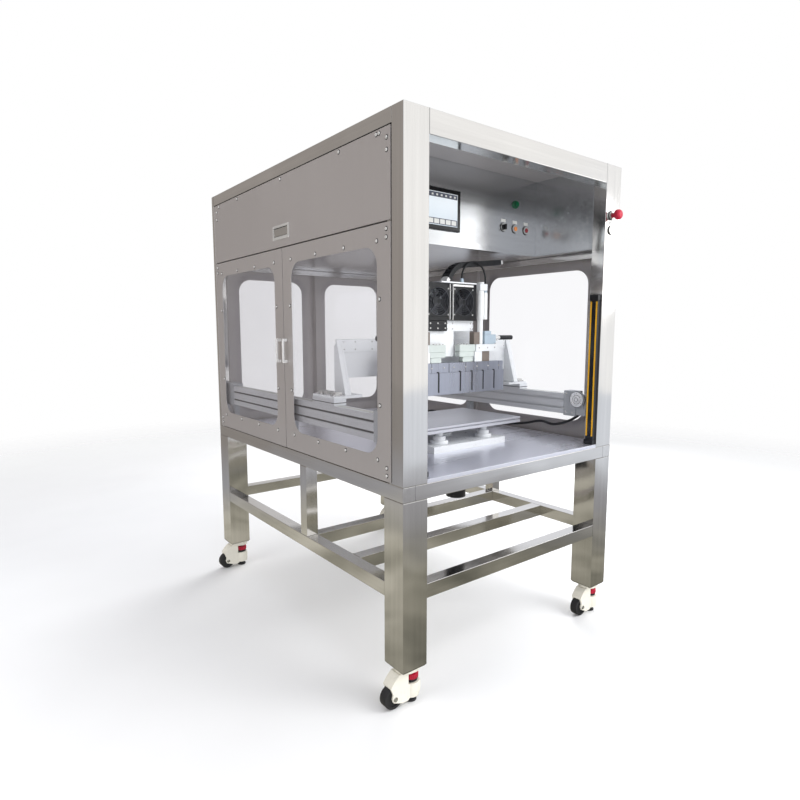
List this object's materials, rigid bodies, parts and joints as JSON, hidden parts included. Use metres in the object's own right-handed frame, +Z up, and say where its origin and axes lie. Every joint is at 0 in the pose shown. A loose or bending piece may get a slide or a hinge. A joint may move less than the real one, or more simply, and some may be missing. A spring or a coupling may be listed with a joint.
{
  "type": "capsule filler",
  "caption": "Floor-standing capsule filler: stainless cabin on a wheeled stand, hinged window doors, sliding gantry with a comb press bar over a tray platform.",
  "frame": {"origin": "on the floor, under the middle of the frame's footprint", "axes": "+Z up, +Y from the operator's open front to the back, +X to the operator's right"},
  "size_m": [1.1985, 1.612, 1.9],
  "materials": {
    "frame_steel": "brushed stainless steel",
    "floor_steel": "bright stainless sheet",
    "panel_steel": "satin stainless sheet",
    "door_steel": "satin stainless sheet",
    "screen_black": "gloss black",
    "lamp_green": "translucent green",
    "bezel_metal": "polished",
    "curtain_black": "black with yellow edges",
    "pivot_steel": "ground",
    "profile_aluminium": "natural anodised",
    "housing_grey": "cast and machined",
    "platform_steel": "bright",
    "platen_grey": "milled",
    "motor_black": "black enamel",
    "caster_cream": "cream enamel",
    "tyre_black": "moulded nylon",
    "foot_red": "moulded red and black",
    "acrylic_clear": "clear acrylic",
    "latch_steel": "satin",
    "estop_red": "red",
    "button_white": "white",
    "button_orange": "orange",
    "button_red": "dark red",
    "selector_black": "black",
    "carriage_black": "black anodised",
    "head_white": "bright machined",
    "fan_black": "moulded black",
    "cylinder_white": "ground and anodised",
    "press_aluminium": "milled",
    "chain_black": "nylon links",
    "hose_black": "smooth hose"
  },
  "bodies": {
    "enclosure": {"legs": "frame_steel", "deck_frame": "frame_steel", "lower_rails": "frame_steel", "upper_frame": "frame_steel", "floor_tray": "floor_steel", "fixed_panels": "panel_steel", "control_panel": "panel_steel", "touch_screen": "screen_black", "pilot_lamp": "lamp_green", "control_bezels": "bezel_metal", "light_curtains": "curtain_black", "door_pivots": "pivot_steel", "module_profiles": "profile_aluminium", "module_ends": "housing_grey", "platform_base": "platform_steel", "platen": "platen_grey", "platform_motor": "motor_black", "caster_plates": "caster_cream"},
    "left_front_door": {"left_front_door": "door_steel", "left_front_window": "acrylic_clear"},
    "left_rear_door": {"left_rear_door": "door_steel", "left_rear_window": "acrylic_clear"},
    "right_front_door": {"right_front_door": "door_steel", "right_front_window": "acrylic_clear"},
    "right_rear_door": {"right_rear_door": "door_steel", "right_rear_window": "acrylic_clear"},
    "back_left_door": {"back_left_door": "door_steel", "back_left_window": "acrylic_clear"},
    "back_right_door": {"back_right_door": "door_steel", "back_right_window": "acrylic_clear"},
    "left_flap": {"left_flap": "door_steel"},
    "left_latch": {"left_latch": "latch_steel"},
    "right_flap": {"right_flap": "door_steel"},
    "right_latch": {"right_latch": "latch_steel"},
    "front_left_caster": {"front_left_fork": "caster_cream"},
    "front_left_wheel": {"front_left_wheel": "tyre_black"},
    "front_left_foot": {"front_left_foot": "foot_red"},
    "front_right_caster": {"front_right_fork": "caster_cream"},
    "front_right_wheel": {"front_right_wheel": "tyre_black"},
    "front_right_foot": {"front_right_foot": "foot_red"},
    "rear_left_caster": {"rear_left_fork": "caster_cream"},
    "rear_left_wheel": {"rear_left_wheel": "tyre_black"},
    "rear_left_foot": {"rear_left_foot": "foot_red"},
    "rear_right_caster": {"rear_right_fork": "caster_cream"},
    "rear_right_wheel": {"rear_right_wheel": "tyre_black"},
    "rear_right_foot": {"rear_right_foot": "foot_red"},
    "white_button": {"white_button": "button_white"},
    "orange_button": {"orange_button": "button_orange"},
    "red_button": {"red_button": "button_red"},
    "estop_button": {"estop_button": "estop_red"},
    "selector_switch": {"selector_switch": "selector_black"},
    "gantry": {"gantry_carriages": "carriage_black", "gantry_beam": "head_white", "fan_box": "fan_black", "lift_cylinders": "cylinder_white", "cable_chain": "chain_black", "air_hose": "hose_black"},
    "press": {"press_bar": "press_aluminium"},
    "left_fan": {"left_fan": "fan_black"},
    "right_fan": {"right_fan": "fan_black"}
  },
  "joints": [
    {"name": "left_front_hinge", "type": "hinge", "parent": "enclosure", "child": "left_front_door", "pos_m": [-0.558, -0.7025, 0.758], "axis": [0, 0, 1], "range_deg": [0, 100]},
    {"name": "left_rear_hinge", "type": "hinge", "parent": "enclosure", "child": "left_rear_door", "pos_m": [-0.558, 0.7355, 0.758], "axis": [0, 0, -1], "range_deg": [0, 100]},
    {"name": "right_front_hinge", "type": "hinge", "parent": "enclosure", "child": "right_front_door", "pos_m": [0.558, -0.7025, 0.758], "axis": [0, 0, -1], "range_deg": [0, 100]},
    {"name": "right_rear_hinge", "type": "hinge", "parent": "enclosure", "child": "right_rear_door", "pos_m": [0.558, 0.7355, 0.758], "axis": [0, 0, 1], "range_deg": [0, 100]},
    {"name": "back_left_hinge", "type": "hinge", "parent": "enclosure", "child": "back_left_door", "pos_m": [-0.503, 0.7655, 0.758], "axis": [0, 0, 1], "range_deg": [0, 100]},
    {"name": "back_right_hinge", "type": "hinge", "parent": "enclosure", "child": "back_right_door", "pos_m": [0.503, 0.7655, 0.758], "axis": [0, 0, -1], "range_deg": [0, 100]},
    {"name": "left_flap_hinge", "type": "hinge", "parent": "enclosure", "child": "left_flap", "pos_m": [-0.558, 0, 1.842], "axis": [0, 1, 0], "range_deg": [0, 85]},
    {"name": "left_latch_hinge", "type": "hinge", "parent": "left_flap", "child": "left_latch", "pos_m": [-0.561, 0.021, 1.649], "axis": [0, 1, 0], "range_deg": [0, 35], "stiffness_Nm_per_rad": 0.06},
    {"name": "right_flap_hinge", "type": "hinge", "parent": "enclosure", "child": "right_flap", "pos_m": [0.558, 0, 1.842], "axis": [0, -1, 0], "range_deg": [0, 85]},
    {"name": "right_latch_hinge", "type": "hinge", "parent": "right_flap", "child": "right_latch", "pos_m": [0.561, 0.021, 1.649], "axis": [0, -1, 0], "range_deg": [0, 35], "stiffness_Nm_per_rad": 0.06},
    {"name": "front_left_swivel", "type": "hinge", "parent": "enclosure", "child": "front_left_caster", "pos_m": [-0.515, -0.7225, 0.125], "axis": [0, 0, 1], "continuous": true},
    {"name": "front_left_roll", "type": "hinge", "parent": "front_left_caster", "child": "front_left_wheel", "pos_m": [-0.574, -0.7225, 0.0405], "axis": [0, 1, 0], "continuous": true},
    {"name": "front_left_level", "type": "slide", "parent": "front_left_caster", "child": "front_left_foot", "axis": [0, 0, 1], "range_m": [0, 0.008]},
    {"name": "front_right_swivel", "type": "hinge", "parent": "enclosure", "child": "front_right_caster", "pos_m": [0.515, -0.7225, 0.125], "axis": [0, 0, 1], "continuous": true},
    {"name": "front_right_roll", "type": "hinge", "parent": "front_right_caster", "child": "front_right_wheel", "pos_m": [0.456, -0.7225, 0.0405], "axis": [0, 1, 0], "continuous": true},
    {"name": "front_right_level", "type": "slide", "parent": "front_right_caster", "child": "front_right_foot", "axis": [0, 0, 1], "range_m": [0, 0.008]},
    {"name": "rear_left_swivel", "type": "hinge", "parent": "enclosure", "child": "rear_left_caster", "pos_m": [-0.515, 0.7225, 0.125], "axis": [0, 0, 1], "continuous": true},
    {"name": "rear_left_roll", "type": "hinge", "parent": "rear_left_caster", "child": "rear_left_wheel", "pos_m": [-0.574, 0.7225, 0.0405], "axis": [0, 1, 0], "continuous": true},
    {"name": "rear_left_level", "type": "slide", "parent": "rear_left_caster", "child": "rear_left_foot", "axis": [0, 0, 1], "range_m": [0, 0.008]},
    {"name": "rear_right_swivel", "type": "hinge", "parent": "enclosure", "child": "rear_right_caster", "pos_m": [0.515, 0.7225, 0.125], "axis": [0, 0, 1], "continuous": true},
    {"name": "rear_right_roll", "type": "hinge", "parent": "rear_right_caster", "child": "rear_right_wheel", "pos_m": [0.456, 0.7225, 0.0405], "axis": [0, 1, 0], "continuous": true},
    {"name": "rear_right_level", "type": "slide", "parent": "rear_right_caster", "child": "rear_right_foot", "axis": [0, 0, 1], "range_m": [0, 0.008]},
    {"name": "white_button_press", "type": "slide", "parent": "enclosure", "child": "white_button", "axis": [0, 1, 0], "range_m": [0, 0.004], "stiffness_N_per_m": 350},
    {"name": "orange_button_press", "type": "slide", "parent": "enclosure", "child": "orange_button", "axis": [0, 1, 0], "range_m": [0, 0.004], "stiffness_N_per_m": 350},
    {"name": "red_button_press", "type": "slide", "parent": "enclosure", "child": "red_button", "axis": [0, 1, 0], "range_m": [0, 0.004], "stiffness_N_per_m": 350},
    {"name": "estop_button_press", "type": "slide", "parent": "enclosure", "child": "estop_button", "axis": [0, 1, 0], "range_m": [0, 0.004], "stiffness_N_per_m": 600},
    {"name": "selector_turn", "type": "hinge", "parent": "enclosure", "child": "selector_switch", "pos_m": [0.25, -0.4225, 1.679], "axis": [0, 1, 0], "range_deg": [-45, 45]},
    {"name": "gantry_slide", "type": "slide", "parent": "enclosure", "child": "gantry", "axis": [0, 1, 0], "range_m": [-0.12, 0.7]},
    {"name": "press_slide", "type": "slide", "parent": "gantry", "child": "press", "axis": [0, 0, 1], "range_m": [-0.1, 0.045]},
    {"name": "left_fan_spin", "type": "hinge", "parent": "gantry", "child": "left_fan", "pos_m": [-0.07, -0.3575, 1.36], "axis": [0, 1, 0], "continuous": true},
    {"name": "right_fan_spin", "type": "hinge", "parent": "gantry", "child": "right_fan", "pos_m": [0.07, -0.3575, 1.36], "axis": [0, 1, 0], "continuous": true}
  ]
}
